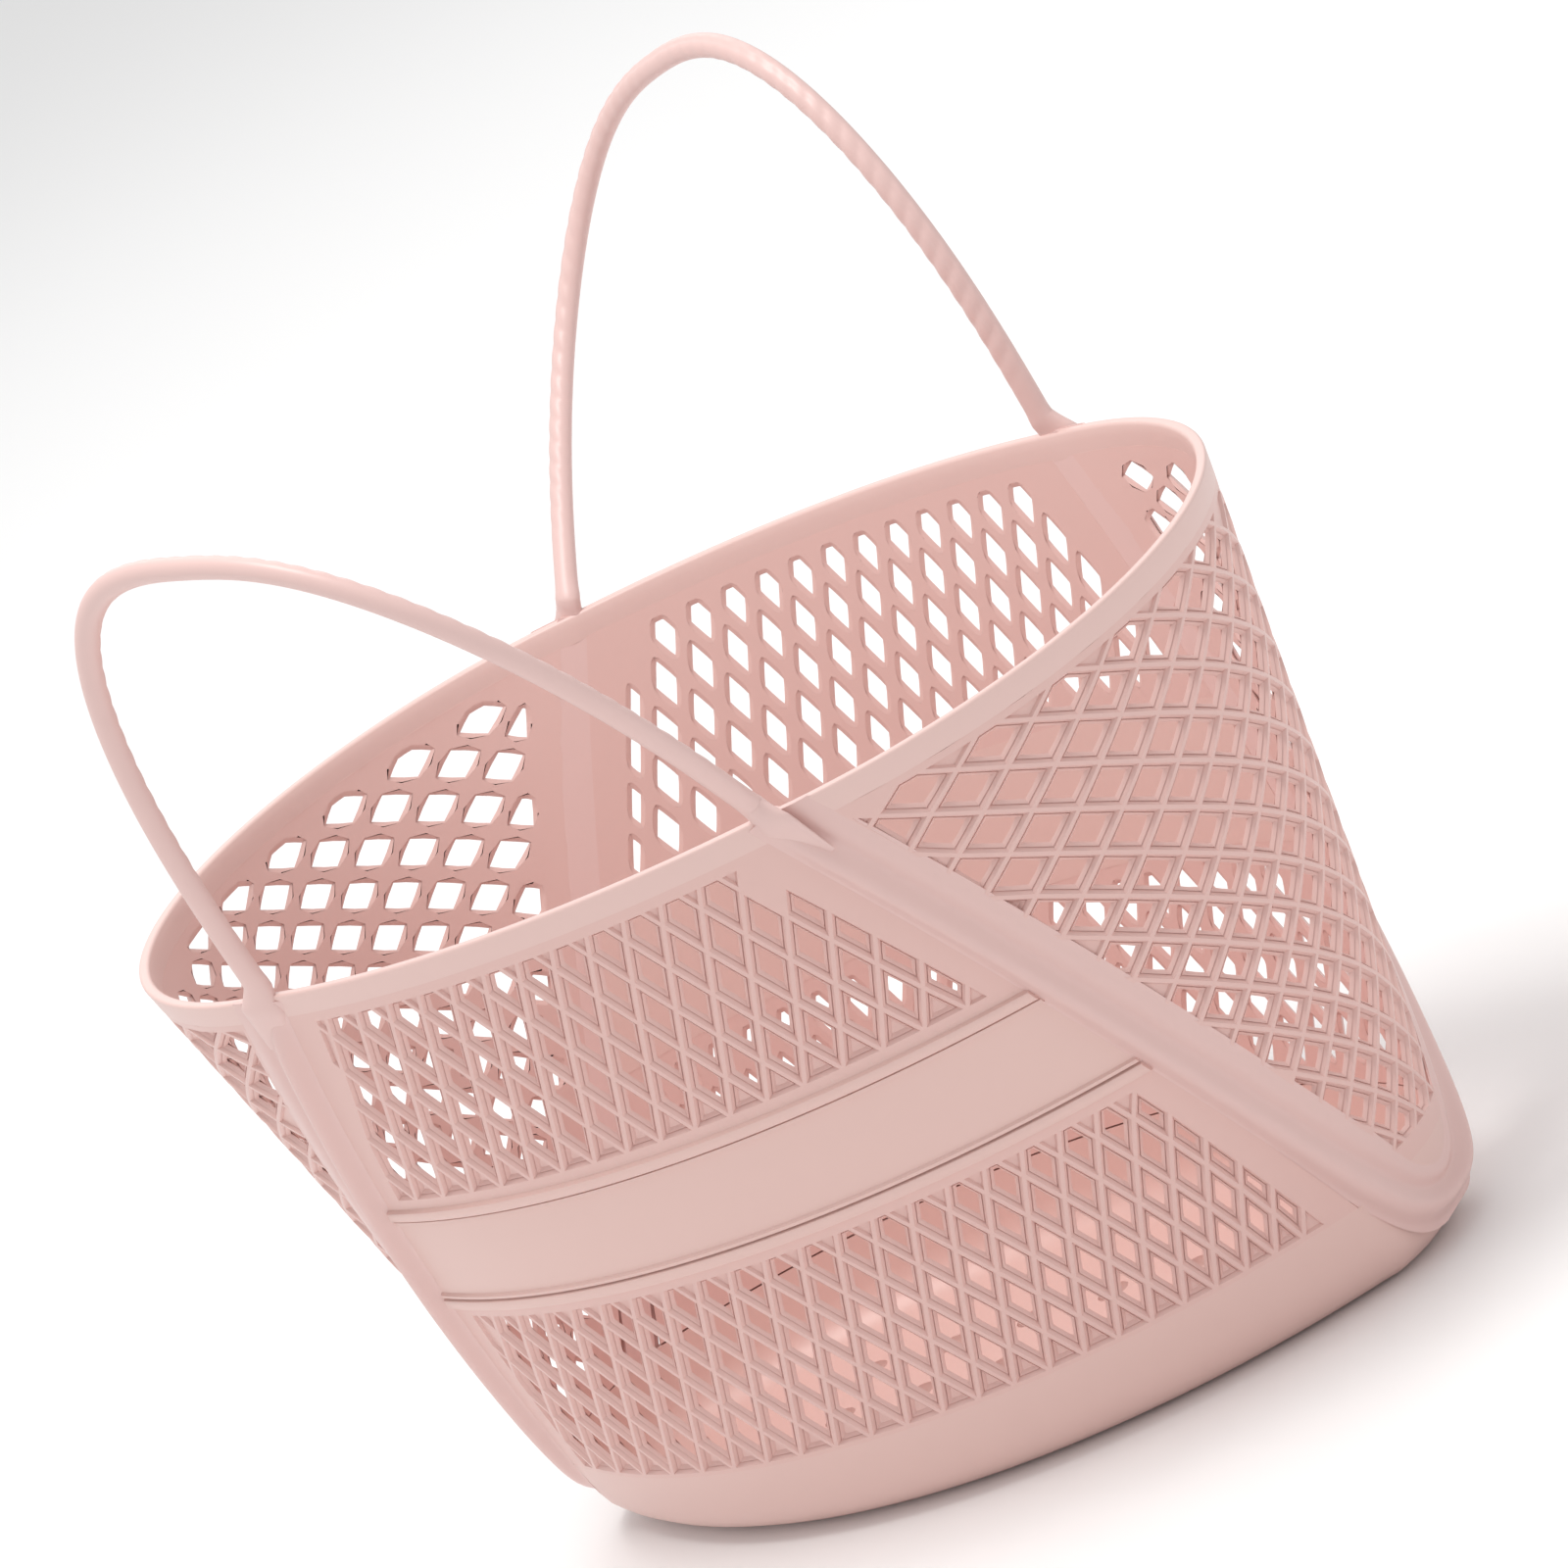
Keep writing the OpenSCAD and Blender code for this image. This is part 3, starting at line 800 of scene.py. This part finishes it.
# ---- finishes ----
def plastic(name, base, deep, mottle, grain, gloss, soft):
    """Soft moulded plastic: faint mottling, a fine grain and light that sinks a little way in."""
    material = bpy.data.materials.new(name)
    material.use_nodes = True
    tree = material.node_tree
    nodes, links = tree.nodes, tree.links
    shader = nodes["Principled BSDF"]
    coords = nodes.new("ShaderNodeTexCoord")
    clouds = nodes.new("ShaderNodeTexNoise")
    clouds.inputs["Scale"].default_value = mottle
    clouds.inputs["Detail"].default_value = 4
    links.new(coords.outputs["Object"], clouds.inputs["Vector"])
    ramp = nodes.new("ShaderNodeValToRGB")
    ramp.color_ramp.elements[0].position = 0.3
    ramp.color_ramp.elements[1].position = 0.72
    ramp.color_ramp.elements[0].color = (*[b * 0.95 + d * 0.05 for b, d in zip(base, deep)], 1)
    ramp.color_ramp.elements[1].color = (*[min(1, b * 1.03) for b in base], 1)
    links.new(clouds.outputs["Fac"], ramp.inputs["Fac"])
    links.new(ramp.outputs["Color"], shader.inputs["Base Color"])
    sheen = nodes.new("ShaderNodeMapRange")
    sheen.inputs["To Min"].default_value = gloss - 0.05
    sheen.inputs["To Max"].default_value = gloss + 0.07
    links.new(clouds.outputs["Fac"], sheen.inputs["Value"])
    links.new(sheen.outputs["Result"], shader.inputs["Roughness"])
    fine = nodes.new("ShaderNodeTexNoise")
    fine.inputs["Scale"].default_value = grain
    fine.inputs["Detail"].default_value = 3
    links.new(coords.outputs["Object"], fine.inputs["Vector"])
    bump = nodes.new("ShaderNodeBump")
    bump.inputs["Strength"].default_value = 0.12
    bump.inputs["Distance"].default_value = 0.0002
    links.new(fine.outputs["Fac"], bump.inputs["Height"])
    links.new(bump.outputs["Normal"], shader.inputs["Normal"])
    shader.inputs["Subsurface Weight"].default_value = soft
    shader.inputs["Subsurface Radius"].default_value = (1.0, 0.42, 0.36)
    shader.inputs["Subsurface Scale"].default_value = 0.003
    shader.inputs["IOR"].default_value = 1.47
    return material


def finish_for(slot):
    """The finish of one material slot; each is made once."""
    found = bpy.data.materials.get(slot)
    if found:
        return found
    c = colours()
    # colour, scale of the mottling, scale of the grain, roughness, softness to light
    makes = {
        "base_plastic": (c.body, 9, 900, 0.42, 0.35),
        # painted highlight: the rim takes the lighter pale tint
        "rim_plastic": (c.pale, 14, 1100, 0.36, 0.35),
        "lattice_plastic": (c.body, 18, 1300, 0.38, 0.35),
        "band_plastic": (c.body, 10, 1000, 0.40, 0.35),
        "strap_plastic": (c.body, 12, 1000, 0.40, 0.35),
        # painted highlight: the handles take the lighter pale tint
        "handle_plastic": (c.pale, 20, 1400, 0.36, 0.35),
    }
    base, mottle, grain, gloss, soft = makes[slot]
    return plastic(slot, tuple(base), tuple(c.deep), mottle, grain, gloss, soft)


# ---- operators ----
class CADDY_OT_base(bpy.types.Operator):
    """Build the base: a rounded skirt with a floor and drain holes"""

    bl_idname = "caddy.base"
    bl_label = "Base tray"

    def execute(self, context):
        piece = finished("base_shell", tray_mesh(Basket(sizes())), finish_for("base_plastic"))
        cutter = drain_cutter(sizes())
        holes = piece.modifiers.new("holes", "BOOLEAN")
        holes.operation, holes.solver, holes.object = "DIFFERENCE", "EXACT", cutter
        bpy.context.view_layer.update()
        whole = piece.evaluated_get(bpy.context.evaluated_depsgraph_get())
        mesh = bpy.data.meshes.new_from_object(whole)
        piece.modifiers.remove(holes)
        piece.data = mesh
        mesh.shade_smooth()
        mesh.set_sharp_from_angle(angle=math.radians(35))
        bpy.data.objects.remove(cutter)
        fitted(piece, "basket", "base_tray")
        return {"FINISHED"}


class CADDY_OT_rim(bpy.types.Operator):
    """Build the rim band with its soft lip"""

    bl_idname = "caddy.rim"
    bl_label = "Rim band"

    def execute(self, context):
        piece = finished("rim_lip", rim_mesh(Basket(sizes())), finish_for("rim_plastic"), 60)
        fitted(piece, "basket", "rim_band")
        return {"FINISHED"}


class CADDY_OT_front_lattices(bpy.types.Operator):
    """Build the four lattice panels of the front and back walls"""

    bl_idname = "caddy.front_lattices"
    bl_label = "Front and back lattices"

    def execute(self, context):
        basket, s = Basket(sizes()), sizes()
        slot = "lattice_plastic"
        upper = front_lattice(basket, BAND_HIGH.z + MM, RIM_LOW.z - 2.5 * MM, BAND_HIGH.z - MM, RIM_LOW.z,
                              s.upper_node, s.upper_row, upper_column)
        lower = front_lattice(basket, SKIRT.z + 0.75 * MM, BAND_LOW.z - 2.5 * MM, SKIRT.z,
                              BAND_LOW.z + 0.3 * MM, s.lower_node, s.lower_row, lower_column)
        for level, lattice in (("upper", upper), ("lower", lower)):
            piece = lattice.build(f"front_{level}_mesh", finish_for(slot), 2)
            fitted(piece, "basket", f"front_{level}_lattice")
            turned_copy(piece, f"back_{level}_mesh", f"back_{level}_lattice", "basket")
        return {"FINISHED"}


class CADDY_OT_end_lattices(bpy.types.Operator):
    """Build the two fan-shaped lattice panels of the end walls"""

    bl_idname = "caddy.end_lattices"
    bl_label = "End lattices"

    def execute(self, context):
        slot = "lattice_plastic"
        piece = end_lattice(Basket(sizes())).build("right_end_mesh", finish_for(slot), 1)
        fitted(piece, "basket", "right_end_lattice")
        turned_copy(piece, "left_end_mesh", "left_end_lattice", "basket")
        return {"FINISHED"}


class CADDY_OT_bands(bpy.types.Operator):
    """Build the smooth bands across the front and back walls, with their beads"""

    bl_idname = "caddy.bands"
    bl_label = "Middle bands"

    def execute(self, context):
        slot = "band_plastic"
        piece = finished("front_beaded_band", band_mesh(Basket(sizes())), finish_for(slot))
        fitted(piece, "basket", "front_band")
        turned_copy(piece, "back_beaded_band", "back_band", "basket")
        return {"FINISHED"}


class CADDY_OT_straps(bpy.types.Operator):
    """Build the two U-shaped straps that pass round the ends of the base"""

    bl_idname = "caddy.straps"
    bl_label = "Straps"

    def execute(self, context):
        slot = "strap_plastic"
        piece = finished("right_strap_rib", strap_mesh(Basket(sizes())), finish_for(slot), 50)
        fitted(piece, "basket", "right_strap")
        turned_copy(piece, "left_strap_rib", "left_strap", "basket")
        return {"FINISHED"}


class CADDY_OT_handles(bpy.types.Operator):
    """Build the two loop handles, each rising from its roots at the rim"""

    bl_idname = "caddy.handles"
    bl_label = "Handles"

    def execute(self, context):
        basket = Basket(sizes())
        for body, (lean, twist) in HANDLE_LEANS.items():
            hinge = HINGE[body]
            piece = finished(body + "_loop", handle_mesh(basket, hinge, lean, twist),
                             finish_for("handle_plastic"), 60)
            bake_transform(piece)
            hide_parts(body)
        return {"FINISHED"}


class CADDY_OT_stage(bpy.types.Operator):
    """Set up the pale floor, the soft studio lights and the camera"""

    bl_idname = "caddy.stage"
    bl_label = "Stage"

    def execute(self, context):
        back, right, up = camera_axes()
        middle = Vector((0, 0, RIM_HIGH.z / 2))
        place_camera(middle, back, right, up)
        place_floor()
        place_light("key", middle, -0.75 * right + 0.75 * up + 0.45 * back, 1.6, 0.6, 14.5, (1.0, 0.98, 0.96))
        place_light("fill", middle, 0.9 * right + 0.1 * up + 0.9 * back, 1.8, 1.6, 2, (1.0, 0.98, 0.97))
        place_light("behind", middle, 0.1 * right + 0.9 * UP - 0.8 * back, 1.8, 1.4, 5, (1.0, 1.0, 1.0))
        scene = context.scene
        world = scene.world or bpy.data.worlds.new("studio")
        scene.world = world
        world.use_nodes = True
        world.node_tree.nodes["Background"].inputs["Color"].default_value = (1, 1, 1, 1)
        world.node_tree.nodes["Background"].inputs["Strength"].default_value = 0.74
        scene.view_settings.view_transform = "Standard"
        return {"FINISHED"}


def camera_axes():
    """The camera's own back, right and up directions."""
    azimuth, elevation, roll = math.radians(33.74), math.radians(17.48), math.radians(-30.5)
    back = Vector((math.sin(azimuth) * math.cos(elevation), -math.cos(azimuth) * math.cos(elevation),
                   math.sin(elevation)))
    level = Vector((math.cos(azimuth), math.sin(azimuth), 0))
    steep = back.cross(level)
    right = level * math.cos(roll) + steep * math.sin(roll)
    up = steep * math.cos(roll) - level * math.sin(roll)
    return back, right, up


def place_camera(middle, back, right, up):
    distance, lens, sensor = 2.7967, 250.7, 36.0
    camera = bpy.data.cameras.new("camera")
    camera.lens, camera.sensor_width = lens, sensor
    camera.shift_x, camera.shift_y = -0.0466, 0.1629
    camera.clip_end = 50
    holder = bpy.data.objects.new("camera", camera)
    bpy.context.scene.collection.objects.link(holder)
    turn = Matrix((right, up, back)).transposed().to_4x4()
    holder.matrix_world = Matrix.Translation(middle + back * distance) @ turn
    bpy.context.scene.camera = holder


def place_floor():
    bm = bmesh.new()
    bmesh.ops.create_circle(bm, cap_ends=True, segments=64, radius=8)
    mesh = bpy.data.meshes.new("floor")
    bm.to_mesh(mesh)
    bm.free()
    floor = bpy.data.objects.new("floor", mesh)
    bpy.context.scene.collection.objects.link(floor)
    paint = bpy.data.materials.new("floor_paint")
    paint.use_nodes = True
    shader = paint.node_tree.nodes["Principled BSDF"]
    shader.inputs["Base Color"].default_value = (*colours().floor, 1)
    shader.inputs["Roughness"].default_value = 0.9
    mesh.materials.append(paint)


def place_light(name, middle, direction, reach, size, power, colour):
    light = bpy.data.lights.new(name, "AREA")
    light.size, light.energy, light.color = size, power, colour
    holder = bpy.data.objects.new(name, light)
    bpy.context.scene.collection.objects.link(holder)
    at = middle + direction.normalized() * reach
    holder.matrix_world = Matrix.Translation(at) @ direction.to_track_quat("Z", "Y").to_matrix().to_4x4()


class CADDY_PT_panel(bpy.types.Panel):
    """The caddy's sizes, colours and pieces"""

    bl_idname = "CADDY_PT_panel"
    bl_label = "Shower caddy"
    bl_space_type = "VIEW_3D"
    bl_region_type = "UI"
    bl_category = "Caddy"

    def draw(self, context):
        for operator in OPERATORS:
            self.layout.operator(operator.bl_idname)
        for group in (context.scene.caddy_sizes, context.scene.caddy_colours):
            for name in group.__annotations__:
                self.layout.prop(group, name)


OPERATORS = (CADDY_OT_base, CADDY_OT_rim, CADDY_OT_front_lattices, CADDY_OT_end_lattices, CADDY_OT_bands,
             CADDY_OT_straps, CADDY_OT_handles, CADDY_OT_stage)
CLASSES = (CaddySizes, CaddyColours, *OPERATORS, CADDY_PT_panel)


def register():
    for cls in CLASSES:
        bpy.utils.register_class(cls)
    bpy.types.Scene.caddy_sizes = bpy.props.PointerProperty(type=CaddySizes)
    bpy.types.Scene.caddy_colours = bpy.props.PointerProperty(type=CaddyColours)


def unregister():
    del bpy.types.Scene.caddy_colours
    del bpy.types.Scene.caddy_sizes
    for cls in reversed(CLASSES):
        bpy.utils.unregister_class(cls)


def main():
    register()
    bpy.ops.caddy.stage()
    bpy.ops.caddy.base()
    bpy.ops.caddy.rim()
    bpy.ops.caddy.front_lattices()
    bpy.ops.caddy.end_lattices()
    bpy.ops.caddy.bands()
    bpy.ops.caddy.straps()
    bpy.ops.caddy.handles()


if __name__ == "__main__":
    main()
